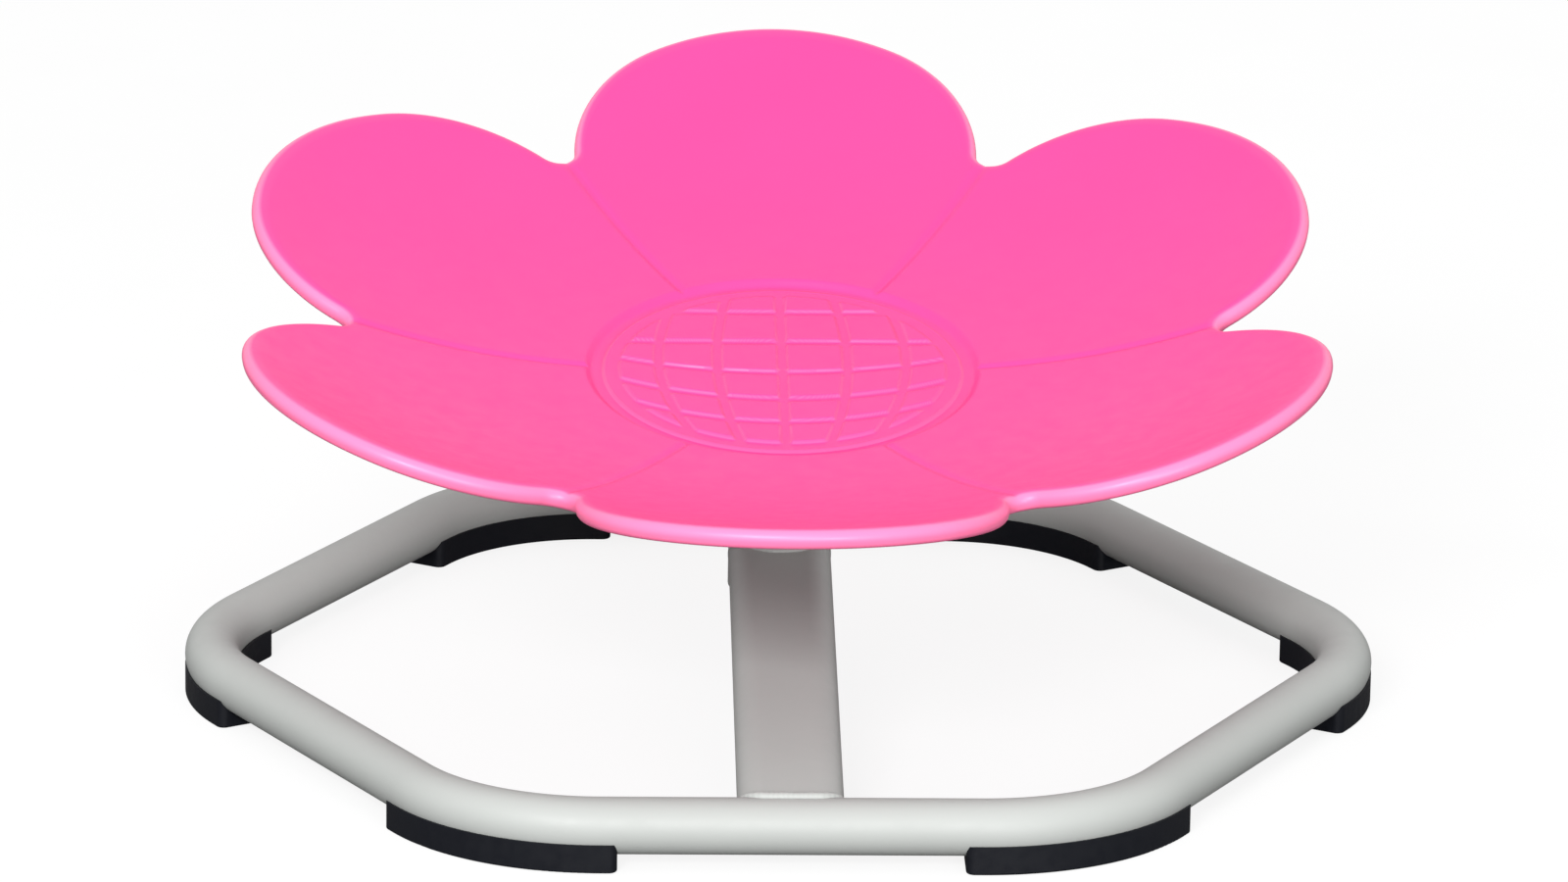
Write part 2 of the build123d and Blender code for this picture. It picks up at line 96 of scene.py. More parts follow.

# ---------------------------------------------------------------- mesh fineness
RAY_ZONES = ((0.003, 0.020, 0.0013, 4), (0.020, 0.046, 0.0010, 2))     # from, to, step, skip
BOSS_FACE = (0.6, 0.2)         # rings on the boss's face, as shares of its radius
MEDALLION_MESH_START = 0.046
MEDALLION_MESH_STEP = 0.00085
PETAL_RINGS = 32
PETAL_RINGS_GAP = 0.0008       # between the medallion's rings and the petals'
PETAL_RING_CROWDING = 0.8      # below 1 the rings crowd towards the lip
PETAL_STEPS = (22, 34, 22, 14)                     # along shoulder, tip, shoulder, notch
LIP_TOP_RINGS = 8
LIP_LOW_RINGS = 7
UNDERSIDE_RINGS = 16
FLARE_GAP = 0.0020             # between the underside's last ring and the boss's flare
TUBE_SIDES = 56
BEND_STEPS = 33
STRAIGHT_STEPS = 8
BEAD_SIDES = 20
BEAD_STEPS = 560

# ---------------------------------------------------------------- sizes of the moulded relief
GLOBE_RADIUS = 0.095           # the raised pads of the medallion end here
GRID_HALF_WIDTH = 0.0030
GRID_DEPTH = 0.0018
VALLEY_DEPTH = 0.0034
PETAL_GROOVE_SPREAD = 0.002232  # from a petal groove's middle to a third of its depth
PETAL_GROOVE_DEPTH = 0.0018
PETAL_GROOVE_START = 0.002     # the petal grooves begin this far inside the valley's edge
LIP_DIP = 0.6                  # share of a petal groove's depth that is left at the lip
DIPPED_RINGS = 6               # rings of the lip over which the groove runs out
WALL_RUN = 0.0018              # width of the sloping wall of each groove
RIM_RUN = 0.0010               # and of the medallion's edge
VALLEY_OUTER_RUN = 0.0060      # the medallion's valley rises softly on its outer side
EDGE_HIGHLIGHT_SHARE = 0.42            # strength of the painted highlight on the medallion's rim and pad edges
LIP_HIGHLIGHT = ((0, 2, 12, 14), (0.1, 1.0, 1.0, 0.2))  # ring of the lip, and how strong its painted highlight is
MERIDIANS = (-0.76, -0.40, 0.0, 0.40, 0.76)        # share of GLOBE_RADIUS
STRAIGHT_PARALLELS = (0.77, 0.36)
BOWED_PARALLELS = (-0.06, -0.42, -0.73)
EQUATOR = 0.15                 # share of GLOBE_RADIUS where the meridians are furthest apart
MERIDIAN_SQUEEZE = 0.25
EQUATOR_BOW = 0.17
BOW_GROWTH = 0.19              # parallels bow more, the nearer the front they lie

# ---------------------------------------------------------------- frames of reference
spin_joint = next(j for j in frame["joints"] if j["name"] == "seat_spin")
SEAT_CENTRE = np.array(spin_joint["pos_m"])
SPIN = np.array(spin_joint["axis"])
RIGHT = np.array([1.0, 0.0, 0.0])
BACK = np.cross(SPIN, RIGHT)

ring_low, ring_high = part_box("ring_tube")
RING_CENTRE = np.array(ring_low + ring_high) / 2
APOTHEM = (ring_high.y - ring_low.y) / 2 - TUBE_RADIUS
CIRCUMRADIUS = APOTHEM / cos(pi / RING_SIDES)


def seat_to_row(points):
    """Points in the seat frame, as an array of (u, v, w), to the row frame."""
    return SEAT_CENTRE + points[:, :1] * RIGHT + points[:, 1:2] * BACK + points[:, 2:3] * SPIN


def unit(vectors):
    return vectors / np.linalg.norm(vectors, axis=1, keepdims=True)


def new_piece(name, points, faces, material, body):
    """A smooth mesh piece that rides on a body."""
    mesh = bpy.data.meshes.new(name)
    mesh.from_pydata(np.asarray(points).tolist(), [], faces)
    mesh.validate()
    mesh.shade_smooth()
    mesh.materials.append(material)
    piece = bpy.data.objects.new(name, mesh)
    bpy.context.scene.collection.objects.link(piece)
    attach(piece, body)
    return piece


# ---------------------------------------------------------------- materials
def material(name, tints, roughness, grain, bump, metallic=0.0, spread=(0.0, 0.0), ior=1.5):
    """A surface with two tints mixed by slow noise, uneven gloss and a fine grain.

    tints are the two linear colours. roughness is the low and high value. grain is the
    number of grains to the metre and bump their height in metres. spread is a second,
    slower swell: waves to the metre and height.
    """
    mat = bpy.data.materials.new(name)
    mat.use_nodes = True
    nodes, links = mat.node_tree.nodes, mat.node_tree.links
    shader = nodes["Principled BSDF"]
    shader.inputs["Metallic"].default_value = metallic
    shader.inputs["IOR"].default_value = ior
    place = nodes.new("ShaderNodeTexCoord")

    def noise(scale, detail):
        node = nodes.new("ShaderNodeTexNoise")
        node.inputs["Scale"].default_value = scale
        node.inputs["Detail"].default_value = detail
        links.new(place.outputs["Object"], node.inputs["Vector"])
        return node

    slow = noise(MOTTLE_SCALE, 4.0)
    tint = nodes.new("ShaderNodeMix")
    tint.data_type = "RGBA"
    tint.inputs["A"].default_value = (*tints[0], 1.0)
    tint.inputs["B"].default_value = (*tints[1], 1.0)
    links.new(slow.outputs["Fac"], tint.inputs["Factor"])
    links.new(tint.outputs["Result"], shader.inputs["Base Color"])

    patches = noise(grain / GRAINS_PER_PATCH, 3.0)
    gloss = nodes.new("ShaderNodeMapRange")
    gloss.inputs["From Min"].default_value = NOISE_LOW
    gloss.inputs["From Max"].default_value = NOISE_HIGH
    gloss.inputs["To Min"].default_value = roughness[0]
    gloss.inputs["To Max"].default_value = roughness[1]
    links.new(patches.outputs["Fac"], gloss.inputs["Value"])
    links.new(gloss.outputs["Result"], shader.inputs["Roughness"])

    fine = nodes.new("ShaderNodeBump")
    fine.inputs["Distance"].default_value = bump
    fine.inputs["Strength"].default_value = 1.0
    links.new(noise(grain, 2.0).outputs["Fac"], fine.inputs["Height"])
    if spread[1] > 0:
        swell = nodes.new("ShaderNodeBump")
        swell.inputs["Distance"].default_value = spread[1]
        swell.inputs["Strength"].default_value = 1.0
        links.new(noise(spread[0], 1.0).outputs["Fac"], swell.inputs["Height"])
        links.new(swell.outputs["Normal"], fine.inputs["Normal"])
    links.new(fine.outputs["Normal"], shader.inputs["Normal"])
    return mat


MATERIALS = {
    "seat_plastic": material(
        "seat_polyethylene", ((0.98, 0.042, 0.248), (1.0, 0.048, 0.266)), (0.36, 0.44),
        grain=900.0, bump=0.00003, spread=(28.0, 0.00025), ior=1.44),
    "powder_coat": material(
        "powder_coat_grey", ((0.362, 0.376, 0.363), (0.386, 0.400, 0.387)), (0.46, 0.56),
        grain=1400.0, bump=0.00003, spread=(240.0, 0.00002), ior=1.42),
    "pad_rubber": material(
        "moulded_black_rubber", ((0.0035, 0.0042, 0.0068), (0.0055, 0.0062, 0.0092)), (0.42, 0.58),
        grain=1800.0, bump=0.00005, ior=1.30),
    "zinc_steel": material(
        "zinc_plate", ((0.58, 0.57, 0.52), (0.68, 0.67, 0.64)), (0.26, 0.42),
        grain=1500.0, bump=0.00002, metallic=1.0),
    "seal_rubber": material(
        "seal_rubber", ((0.012, 0.012, 0.012), (0.020, 0.019, 0.018)), (0.55, 0.72),
        grain=2200.0, bump=0.00003),
    "black_plastic": material(
        "cap_plastic", ((0.016, 0.016, 0.018), (0.026, 0.026, 0.028)), (0.40, 0.55),
        grain=1600.0, bump=0.00004),
    "spring_steel": material(
        "oiled_spring_steel", ((0.15, 0.15, 0.16), (0.24, 0.24, 0.25)), (0.25, 0.38),
        grain=1800.0, bump=0.00001, metallic=1.0),
    "bearing_steel": material(
        "ground_bearing_steel", ((0.66, 0.66, 0.67), (0.76, 0.76, 0.76)), (0.08, 0.16),
        grain=3000.0, bump=0.000004, metallic=1.0),
    "cage_nylon": material(
        "cage_nylon", ((0.74, 0.69, 0.58), (0.82, 0.78, 0.68)), (0.45, 0.58),
        grain=1800.0, bump=0.00003),
    "insert_brass": material(
        "turned_brass", ((0.66, 0.44, 0.17), (0.78, 0.56, 0.24)), (0.22, 0.34),
        grain=1800.0, bump=0.00001, metallic=1.0),
    "plate_paint": material(
        "black_zinc_plate", ((0.030, 0.030, 0.033), (0.048, 0.048, 0.050)), (0.34, 0.48),
        grain=1500.0, bump=0.00003),
    "turned_steel": material(
        "turned_steel", ((0.46, 0.46, 0.47), (0.58, 0.58, 0.58)), (0.18, 0.30),
        grain=2000.0, bump=0.00001, metallic=1.0),
}


def paint_dish_highlight(mat, tint):
    """Mix a paler pink into the skin as a painted highlight, as strong as the mesh's per-point share."""
    nodes, links = mat.node_tree.nodes, mat.node_tree.links
    base = nodes["Principled BSDF"].inputs["Base Color"]
    # the painted highlight share stored on the dish's points
    highlight_mask = nodes.new("ShaderNodeAttribute")
    highlight_mask.attribute_name = "painted_highlight"
    highlighted = nodes.new("ShaderNodeMix")
    highlighted.data_type = "RGBA"
    highlighted.inputs["B"].default_value = (*tint, 1.0)
    links.new(base.links[0].from_socket, highlighted.inputs["A"])
    links.new(highlight_mask.outputs["Fac"], highlighted.inputs["Factor"])
    links.new(highlighted.outputs["Result"], base)


def dress_cad_nodes():
    """Give each CAD node the material of its slot."""
    slots = {entry["node"]: entry["material_slot"] for entry in frame["record"]["subparts"]}
    for node, piece in frame["nodes"].items():
        piece.data.materials.clear()
        piece.data.materials.append(MATERIALS[slots[node]])


# ---------------------------------------------------------------- flower dish
def dish_height(rho):
    """Height of the upper surface above its middle."""
    run = np.maximum(rho - FLAT_RADIUS, 0.0)
    return DISH_RADIUS - np.sqrt(DISH_RADIUS ** 2 - run ** 2)


def underside_height(rho):
    """Height of the lower surface, concentric with the upper one."""
    run = np.maximum(rho - FLAT_RADIUS, 0.0)
    return DISH_RADIUS - np.sqrt((DISH_RADIUS + LIP_THICKNESS) ** 2 - run ** 2)


def surface_normals(plan, radius):
    """Upward normals of a dish surface of the given arc radius, at plan points."""
    rho = np.linalg.norm(plan, axis=1)
    run = np.maximum(rho - FLAT_RADIUS, 0.0)
    slope = run / np.sqrt(radius ** 2 - run ** 2)
    outward = plan / np.maximum(rho, 1e-9)[:, None]
    return unit(np.column_stack([-outward * slope[:, None], np.ones(len(plan))]))


def arc(centre, radius, start, end, steps, side=1):
    """Points of an arc, less its last, and their normals; side is -1 on a hollow arc."""
    angles = np.linspace(start, end, steps, endpoint=False)
    rays = np.column_stack([np.cos(angles), np.sin(angles)])
    return centre + rays * radius, rays * side


def outline():
    """Plan points of the flower and their outward normals, once round."""
    half_pitch = pi / PETALS
    half = PETAL_TIP_HALF_ANGLE
    spread = PETAL_TIP_RADIUS - PETAL_SHOULDER_RADIUS
    tip = np.array([PETAL_REACH - PETAL_TIP_RADIUS, 0.0])
    shoulder = tip + spread * np.array([cos(half), sin(half)])
    line = np.array([cos(half_pitch), sin(half_pitch)])
    along = shoulder @ line
    reach = PETAL_SHOULDER_RADIUS + NOTCH_RADIUS
    notch = line * (along + sqrt(along ** 2 - shoulder @ shoulder + reach ** 2))
    swing = atan2(*(notch - shoulder)[::-1])
    petal = [
        arc(shoulder * [1, -1], PETAL_SHOULDER_RADIUS, -swing, -half, PETAL_STEPS[0]),
        arc(tip, PETAL_TIP_RADIUS, -half, half, PETAL_STEPS[1]),
        arc(shoulder, PETAL_SHOULDER_RADIUS, half, swing, PETAL_STEPS[2]),
        arc(notch, NOTCH_RADIUS, swing + pi, 2 * half_pitch + pi - swing, PETAL_STEPS[3], -1),
    ]
    points = np.vstack([piece[0] for piece in petal])
    normals = np.vstack([piece[1] for piece in petal])
    turns = []
    for k in range(PETALS):
        angle = 2 * half_pitch * (k + 0.5)
        turn = np.array([[cos(angle), sin(angle)], [-sin(angle), cos(angle)]])
        turns.append((points @ turn, normals @ turn))
    return np.vstack([t[0] for t in turns]), np.vstack([t[1] for t in turns])


def step_up(rho, place, run):
    """0 inside a circle and 1 outside it, with a smooth wall of the given run."""
    t = np.clip((rho - place) / run + 0.5, 0.0, 1.0)
    return t * t * (3 - 2 * t)


def trough(distance):
    """1 on a grid line's floor, 0 outside it, with a smooth wall between."""
    t = np.clip((GRID_HALF_WIDTH + WALL_RUN / 2 - np.abs(distance)) / WALL_RUN, 0.0, 1.0)
    return t * t * (3 - 2 * t)


def globe_grid(x, y):
    """Depth share of the grid of curved lines; x and y are shares of GLOBE_RADIUS.

    Each line's distance is the offset across it, divided by its slope's length.
    """
    lines = np.zeros_like(x)
    north = y - EQUATOR
    for place in MERIDIANS:
        slope = 2 * MERIDIAN_SQUEEZE * place * north
        away = (x - place * (1.0 - MERIDIAN_SQUEEZE * north ** 2)) / np.sqrt(1 + slope ** 2)
        lines = np.maximum(lines, trough(away * GLOBE_RADIUS))
    for place in STRAIGHT_PARALLELS:
        lines = np.maximum(lines, trough((y - place) * GLOBE_RADIUS))
    for place in BOWED_PARALLELS:
        bow = EQUATOR_BOW - BOW_GROWTH * place
        away = (y - place - bow * x ** 2) / np.sqrt(1 + (2 * bow * x) ** 2)
        lines = np.maximum(lines, trough(away * GLOBE_RADIUS))
    return lines


def relief(plan):
    """Depth of the moulded grooves below the upper surface, at plan points."""
    rho = np.linalg.norm(plan, axis=1)
    angle = np.arctan2(plan[:, 1], plan[:, 0])
    pitch = 2 * pi / PETALS
    from_line = (angle + pitch / 2) % pitch - pitch / 2
    across = rho * np.sin(from_line)
    outside = MEDALLION_RADIUS + RING_GROOVE_WIDTH
    soft = np.exp(-(across / PETAL_GROOVE_SPREAD) ** 2)
    petal_lines = soft * PETAL_GROOVE_DEPTH * step_up(rho, outside - PETAL_GROOVE_START, WALL_RUN)
    valley = step_up(rho, MEDALLION_RADIUS, RIM_RUN) - step_up(rho, outside, VALLEY_OUTER_RUN)
    inside = 1.0 - step_up(rho, GLOBE_RADIUS, WALL_RUN)
    medallion = 1.0 - step_up(rho, MEDALLION_RADIUS, RIM_RUN)
    grid = globe_grid(plan[:, 0] / GLOBE_RADIUS, plan[:, 1] / GLOBE_RADIUS)
    rim_zone = medallion * (1.0 - inside) + inside * grid
    return np.maximum(np.maximum(petal_lines, valley * VALLEY_DEPTH), rim_zone * GRID_DEPTH)


def painted_edge_highlight(plan):
    """Share of painted highlight, a paler pink, along the medallion's rim and the edges of its pads."""
    rho = np.linalg.norm(plan, axis=1)
    down = np.clip(relief(plan) / GRID_DEPTH, 0.0, 1.0)
    pads = 4 * down * (1 - down) * (1 - step_up(rho, MEDALLION_RADIUS, RIM_RUN))
    rim = step_up(rho, MEDALLION_RADIUS + RIM_RUN / 2, 2 * RIM_RUN)
    return EDGE_HIGHLIGHT_SHARE * np.maximum(pads, 4 * rim * (1 - rim))


def slerp(start, end, share):
    """Directions part of the way from one set of unit vectors to another."""
    angle = np.arccos(np.clip((start * end).sum(1), -1.0, 1.0))[:, None]
    return (start * np.sin((1 - share) * angle) + end * np.sin(share * angle)) / np.sin(angle)


def join_rings(rings):
    """Faces between rings of points, where a ring may have half as many as the one before.

    Also gives the number of the last ring's first point.
    """
    faces = []
    start = 0
    for ring, following in zip(rings, rings[1:]):
        n, m = len(ring), len(following)
        after = start + n
        if m == n:
            faces += [(start + i, start + (i + 1) % n, after + (i + 1) % n, after + i)
                      for i in range(n)]
        else:
            for i in range(m):
                a, b, c = start + 2 * i, start + 2 * i + 1, start + (2 * i + 2) % n
                p, q = after + i, after + (i + 1) % m
                faces += [(a, b, p), (b, q, p), (b, c, q)]
        start = after
    return faces, start


def lip_rings(plan, normal):
    """Rings round the lip, from above to below, and how far the first lies below the dish.

    A ball of the lip's rounding rolls along each surface of the dish, inside its outline.
    """
    wall = np.column_stack([normal, np.zeros(len(plan))])
    inset = plan - normal * LIP_ROUNDING
    reach = np.linalg.norm(inset, axis=1)

    def rolling_ball(height, radius, side):
        up = surface_normals(inset, radius)
        centre = np.column_stack([inset, height(reach) - side * LIP_ROUNDING / up[:, 2]])
        return centre, side * up

    top_centre, top_normal = rolling_ball(dish_height, DISH_RADIUS, 1)
    low_centre, low_normal = rolling_ball(underside_height, DISH_RADIUS + LIP_THICKNESS, -1)
    top_centre = top_centre - top_normal * ROLL_OFF_DROP
    outward = unit(wall - top_normal * (wall * top_normal).sum(1)[:, None])
    bent = unit(top_normal + outward * ROLL_OFF_SLOPE)
    lip = [top_centre + LIP_ROUNDING * slerp(bent, wall, share)
           for share in np.linspace(0, 1, LIP_TOP_RINGS)]
    lip += [low_centre + LIP_ROUNDING * slerp(wall, low_normal, share)
            for share in np.linspace(0, 1, LIP_LOW_RINGS)]
    edge_drop = dish_height(np.linalg.norm(lip[0][:, :2], axis=1)) - lip[0][:, 2]
    dip = relief(lip[0][:, :2]) * LIP_DIP
    for k in range(DIPPED_RINGS):
        lip[k] = lip[k] - top_normal * (dip * (1 - k / DIPPED_RINGS))[:, None]
    return lip, edge_drop


def top_rings(edge, edge_drop):
    """Rings of the upper surface, from its edge to its middle, with fewer points inwards."""
    edge_reach = np.linalg.norm(edge, axis=1)
    rays = edge / edge_reach[:, None]
    zone = MEDALLION_RADIUS + RING_GROOVE_WIDTH + VALLEY_OUTER_RUN / 2

    def top_ring(plan_points, drop=0.0):
        rho = np.linalg.norm(plan_points, axis=1)
        base = np.column_stack([plan_points, dish_height(rho) - drop])
        return base - surface_normals(plan_points, DISH_RADIUS) * relief(plan_points)[:, None]

    zones = (*RAY_ZONES, (MEDALLION_MESH_START, zone, MEDALLION_MESH_STEP, 1))
    rings = [top_ring(rays[::skip] * rho) for start, end, step, skip in zones
             for rho in np.arange(start, end, step)]
    first = zone + PETAL_RINGS_GAP
    for share in np.linspace(0, 1, PETAL_RINGS)[:-1] ** PETAL_RING_CROWDING:
        rho = first + share * (edge_reach - first)
        rolled = np.clip(1 - (edge_reach - rho) / ROLL_OFF_RUN, 0, 1) ** 2
        rings.append(top_ring(rays * rho[:, None], edge_drop * rolled))
    return rings[::-1]


def under_rings(edge):
    """Rings of the lower surface, from its edge down the boss to the middle of its face."""
    edge_reach = np.linalg.norm(edge, axis=1)
    rays = edge / edge_reach[:, None]
    flare = BOSS_RADIUS + BOSS_DEPTH - LIP_THICKNESS
    rings = []
    for share in np.linspace(0, 1, UNDERSIDE_RINGS)[1:]:
        rho = edge_reach + share * (flare + FLARE_GAP - edge_reach)
        rings.append(np.column_stack([rays * rho[:, None], underside_height(rho)]))
    boss = [(flare, -LIP_THICKNESS - 0.0002)]
    boss += [(BOSS_RADIUS + out, up - BOSS_DEPTH) for out, up in BOSS_EDGE]
    boss += [(BOSS_RADIUS * share, -BOSS_DEPTH) for share in BOSS_FACE]
    for rho, height in boss:
        rings.append(np.column_stack([rays * rho, np.full(len(edge), height)]))
    return rings


def flower_dish():
    """The whole skin of the dish, from the middle of its boss round the lip to its top."""
    lip, edge_drop = lip_rings(*outline())
    below = under_rings(lip[-1][:, :2])
    rings = below[::-1] + lip[::-1] + top_rings(lip[0][:, :2], edge_drop)
    faces, last = join_rings(rings)
    points = np.vstack(rings)
    outer, inner = len(rings[0]), len(rings[-1])
    top_middle, low_middle = len(points), len(points) + 1
    faces += [(last + i, last + (i + 1) % inner, top_middle) for i in range(inner)]
    faces += [((i + 1) % outer, i, low_middle) for i in range(outer)]
    middle_depth = relief(np.zeros((1, 2)))[0]
    points = np.vstack([points, [0, 0, -middle_depth], [0, 0, -BOSS_DEPTH]])
    dish = new_piece("flower_dish", seat_to_row(points), faces, MATERIALS["seat_plastic"],
                     "seat")

    # painted highlight: a paler pink over most of the lip's rounding
    ring_highlight = np.zeros(len(rings))
    ring_highlight[len(below):len(below) + len(lip)] = np.interp(np.arange(len(lip)), *LIP_HIGHLIGHT)[::-1]
    highlight_share = np.append(np.repeat(ring_highlight, [len(ring) for ring in rings]), (0.0, 0.0))
    top = sum(len(ring) for ring in rings[:len(below) + len(lip)])
    # painted highlight along the medallion's rim and the edges of its pads
    highlight_share[top:] = painted_edge_highlight(points[top:, :2])
    dish.data.attributes.new("painted_highlight", "FLOAT", "POINT").data.foreach_set("value", highlight_share)
    return dish


# ---------------------------------------------------------------- base ring
def swept_tube(path, tangents, up, radius, around):
    """Points round a closed path, one row along it for each angle; radius may vary along it."""
    side = unit(np.cross(tangents, up))
    over = np.cross(side, unit(tangents))
    reach = np.broadcast_to(radius, len(path))[:, None]
    angles = 2 * pi * np.arange(around) / around
    return np.vstack([path + reach * (side * cos(a) + over * sin(a)) for a in angles])


def closed_tube_faces(length, around):
    """Faces of a tube whose ends meet, with points ordered ring by ring along the path."""
    faces = []
    for i in range(around):
        j = (i + 1) % around
        for k in range(length):
            m = (k + 1) % length
            faces.append((i * length + k, i * length + m, j * length + m, j * length + k))
    return faces


def ring_path():
    """Centreline points of the bent tube and their tangents."""
    centre_radius = CIRCUMRADIUS - BEND_RADIUS / cos(pi / RING_SIDES)
    points, tangents = [], []
    for k in range(RING_SIDES):
        corner = 2 * pi * k / RING_SIDES
        centre = np.array([centre_radius * cos(corner), centre_radius * sin(corner), 0.0])
        for angle in corner + np.linspace(-pi / RING_SIDES, pi / RING_SIDES, BEND_STEPS):
            points.append(centre + BEND_RADIUS * np.array([cos(angle), sin(angle), 0.0]))
            tangents.append([-sin(angle), cos(angle), 0.0])
        following = corner + 2 * pi / RING_SIDES
        start, direction = points[-1], np.array(tangents[-1])
        enter = following - pi / RING_SIDES
        end = np.array([centre_radius * cos(following), centre_radius * sin(following), 0.0])
        end += BEND_RADIUS * np.array([cos(enter), sin(enter), 0.0])
        for share in np.linspace(0, 1, STRAIGHT_STEPS)[1:-1]:
            points.append(start + share * (end - start))
            tangents.append(direction)
    return RING_CENTRE + np.array(points), np.array(tangents)


def coated_tube(name, path, tangents, up, radius, around):
    """A closed tube of the base, in its powder coat."""
    points = swept_tube(path, tangents, up, radius, around)
    faces = closed_tube_faces(len(path), around)
    return new_piece(name, points, faces, MATERIALS["powder_coat"], "base")


def ring_tube():
    """The bent tube of the base."""
    up = np.array([0.0, 0.0, 1.0])
    return coated_tube("hexagon_tube", *ring_path(), up, TUBE_RADIUS, TUBE_SIDES)


# ---------------------------------------------------------------- weld beads
def arm_outline(steps):
    """Points round the arm's flat-oval section, as (across, up), evenly spaced."""
    end_radius = ARM_THICKNESS / 2
    flat = ARM_WIDTH - ARM_THICKNESS
    total = 2 * flat + 2 * pi * end_radius
    points = []
    for place in np.arange(steps) * total / steps:
        if place < flat:
            points.append((place - flat / 2, -end_radius))
        elif place < flat + pi * end_radius:
            angle = (place - flat) / end_radius - pi / 2
            points.append((flat / 2 + end_radius * cos(angle), end_radius * sin(angle)))
        elif place < 2 * flat + pi * end_radius:
            points.append((flat / 2 - (place - flat - pi * end_radius), end_radius))
        else:
            angle = (place - 2 * flat - pi * end_radius) / end_radius + pi / 2
            points.append((-flat / 2 + end_radius * cos(angle), end_radius * sin(angle)))
    return np.array(points)


def weld_bead(name, path, radius, ripples):
    """A rippled bead along a closed line in the seat frame, a little uneven in width."""
    path = seat_to_row(path)
    tangents = np.roll(path, -1, axis=0) - np.roll(path, 1, axis=0)
    turn = 2 * pi * np.arange(len(path)) / len(path)
    width = 1 + RIPPLE_HEIGHT * np.abs(np.sin(ripples * turn / 2))
    width += UNEVENNESS * np.sin(3 * turn) * np.cos(7 * turn)
    return coated_tube(name, path, tangents, BACK, radius * width, BEAD_SIDES)


def arm_front():
    """The middle of the ring's front side, where the arm starts, from the seat's centre."""
    return RING_CENTRE - [0.0, APOTHEM, 0.0] - SEAT_CENTRE


def front_bead():
    """The bead where the arm meets the ring's front side."""
    across, rise = arm_outline(BEAD_STEPS).T
    front = arm_front()
    back = front @ BACK + np.sqrt((TUBE_RADIUS + BEAD_STAND_OFF) ** 2 - rise ** 2)
    path = np.column_stack([across, back, front @ SPIN + rise])
    return weld_bead("arm_front_bead", path, np.full(len(across), BEAD_RADIUS), FRONT_RIPPLES)


def hub_bead():
    """The bead where the arm meets the hub."""
    across, rise = arm_outline(BEAD_STEPS).T
    chord = (HUB_RADIUS + BEAD_STAND_OFF) ** 2 - across ** 2
    reach = np.sqrt(np.maximum(chord, ARM_STOP_SHORT ** 2))
    path = np.column_stack([across, -reach, arm_front() @ SPIN + rise])
    radius = BEAD_RADIUS * (1.0 - HUB_BEAD_THINNING * (across / HUB_RADIUS) ** 4)
    return weld_bead("arm_hub_bead", path, radius, HUB_RIPPLES)


# ---------------------------------------------------------------- camera, light and floor
CAMERA_PLACE = (-0.14513, -5.23038, 1.74873)       # from the middle of the ring
CAMERA_AIM = (0.0012, 0.0, 0.1303)
CAMERA_ROLL = radians(0.812)
LENS = 215.9                                       # millimetres, on a 36 mm wide sensor
LIGHT_AIM = (0.0, 0.0, 0.15)
SURROUND_STRENGTH = 0.86
FLOOR_HALF_WIDTH = 8.0
FLOOR_LEVEL = -0.0003                              # just under the soles
FLOOR_GLOW = 0.85


def add_camera():
    """A long lens, a little above the seat and almost square to the front."""
    place = RING_CENTRE + CAMERA_PLACE
    aim = RING_CENTRE + CAMERA_AIM
    data = bpy.data.cameras.new("camera")
    data.lens = LENS
    data.sensor_width = 36.0
    data.clip_end = 40.0
    camera = bpy.data.objects.new("camera", data)
    bpy.context.scene.collection.objects.link(camera)
    turn = Vector(aim - place).to_track_quat("-Z", "Y").to_matrix().to_4x4()
    camera.matrix_world = Matrix.Translation(place) @ turn @ Matrix.Rotation(CAMERA_ROLL, 4, "Z")
    bpy.context.scene.camera = camera


def add_area(name, place, size, power):
    """A softbox that faces the seat."""
    data = bpy.data.lights.new(name, "AREA")
    data.shape = "RECTANGLE"
    data.size, data.size_y = size
    data.energy = power
    light = bpy.data.objects.new(name, data)
    bpy.context.scene.collection.objects.link(light)
    turn = (Vector(LIGHT_AIM) - Vector(place)).to_track_quat("-Z", "Y").to_matrix().to_4x4()
    light.matrix_world = Matrix.Translation(place) @ turn


def add_lights():
    """Two softboxes in front of the seat, and an even white surround."""
    add_area("key_softbox", (-1.1, -3.6, 2.1), (1.5, 1.0), 142.0)
    add_area("fill_softbox", (1.0, -3.7, 1.0), (1.6, 0.9), 74.0)
    world = bpy.data.worlds.new("studio")
    world.use_nodes = True
    background = world.node_tree.nodes["Background"]
    background.inputs["Color"].default_value = (1.0, 1.0, 1.0, 1.0)
    background.inputs["Strength"].default_value = SURROUND_STRENGTH
    bpy.context.scene.world = world


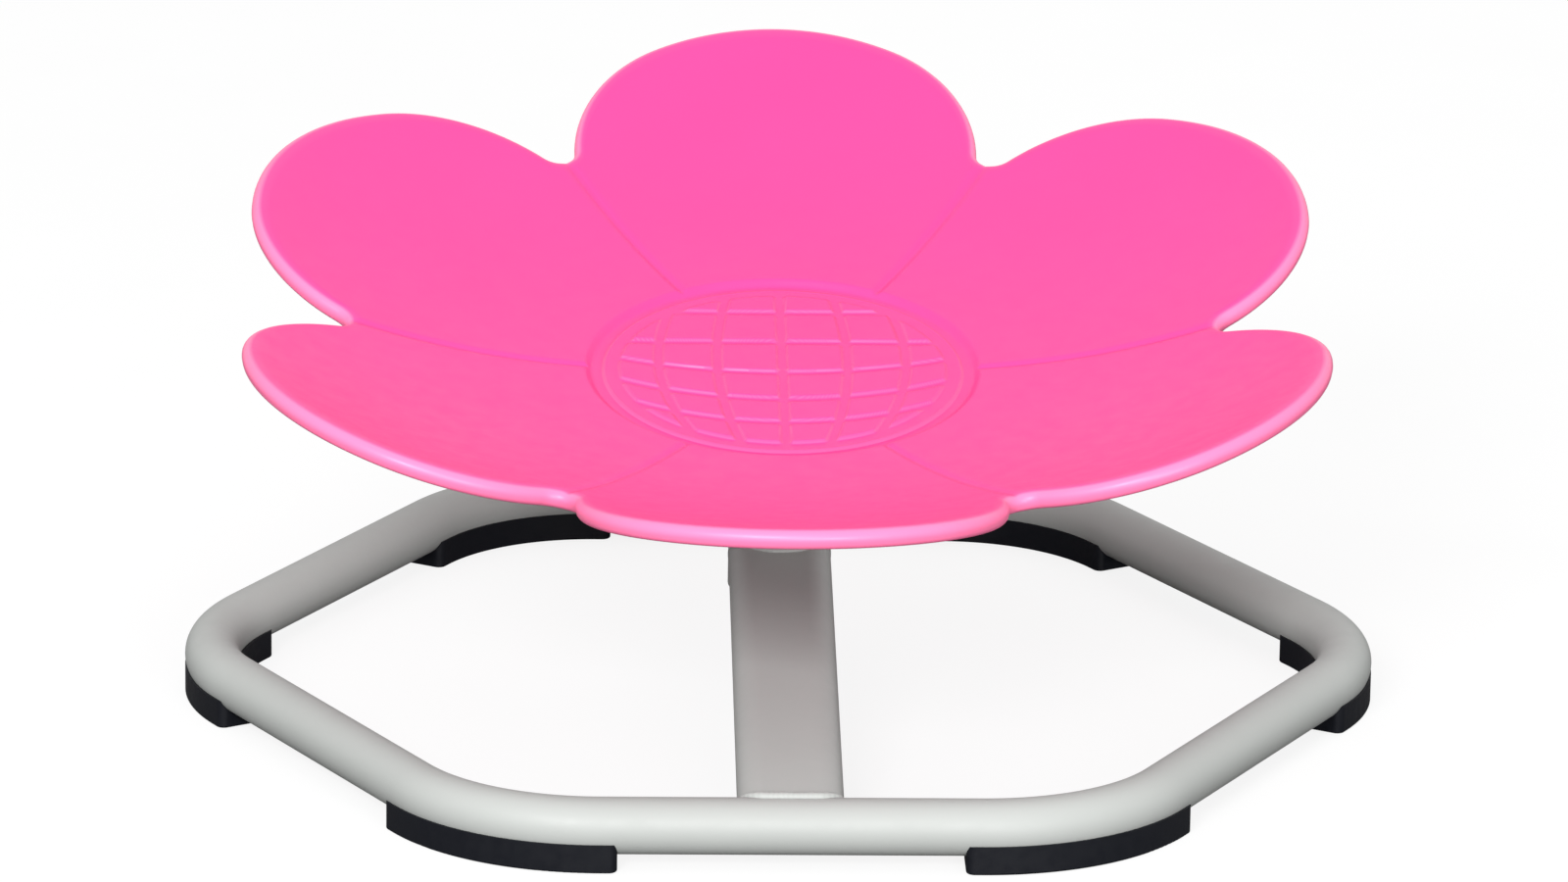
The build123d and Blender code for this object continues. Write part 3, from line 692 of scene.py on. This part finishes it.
def add_floor():
    """A pale floor with a very slight mottle, lit like a white sweep for the camera.

    The white is seen by the camera only, so the floor doesn't light the dish from below,
    and from underneath the floor is clear, so the object's underside can be seen.
    """
    mesh = bpy.data.meshes.new("studio_floor")
    corners = [(x * FLOOR_HALF_WIDTH, y * FLOOR_HALF_WIDTH, FLOOR_LEVEL)
               for x, y in ((-1, -1), (1, -1), (1, 1), (-1, 1))]
    mesh.from_pydata(corners, [], [(0, 1, 2, 3)])
    floor = bpy.data.objects.new("studio_floor", mesh)
    bpy.context.scene.collection.objects.link(floor)
    pale = material("pale_floor", ((0.13, 0.13, 0.13), (0.14, 0.14, 0.14)), (0.75, 0.85),
                    grain=300.0, bump=0.00002)
    nodes, links = pale.node_tree.nodes, pale.node_tree.links
    shader = nodes["Principled BSDF"]
    shader.inputs["Specular IOR Level"].default_value = 0.0
    glow = nodes.new("ShaderNodeEmission")
    glow.inputs["Color"].default_value = (1.0, 1.0, 1.0, 1.0)
    glow.inputs["Strength"].default_value = FLOOR_GLOW
    both = nodes.new("ShaderNodeAddShader")
    links.new(shader.outputs["BSDF"], both.inputs[0])
    links.new(glow.outputs["Emission"], both.inputs[1])
    seen = nodes.new("ShaderNodeLightPath")
    choice = nodes.new("ShaderNodeMixShader")
    links.new(seen.outputs["Is Camera Ray"], choice.inputs["Fac"])
    links.new(shader.outputs["BSDF"], choice.inputs[1])
    links.new(both.outputs["Shader"], choice.inputs[2])
    side = nodes.new("ShaderNodeNewGeometry")
    clear = nodes.new("ShaderNodeBsdfTransparent")
    open_below = nodes.new("ShaderNodeMixShader")
    links.new(side.outputs["Backfacing"], open_below.inputs["Fac"])
    links.new(choice.outputs["Shader"], open_below.inputs[1])
    links.new(clear.outputs["BSDF"], open_below.inputs[2])
    links.new(open_below.outputs["Shader"], nodes["Material Output"].inputs["Surface"])
    mesh.materials.append(pale)


bpy.context.scene.view_settings.view_transform = "Standard"
add_camera()
add_lights()
add_floor()
dress_cad_nodes()
# paler pink painted as a highlight on the dish's lip and medallion edges
paint_dish_highlight(MATERIALS["seat_plastic"], HIGHLIGHT_PINK)
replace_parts(flower_dish(), "seat_shell")
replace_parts(ring_tube(), "ring_tube")
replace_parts(front_bead(), "arm_front_weld")
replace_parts(hub_bead(), "hub_weld")
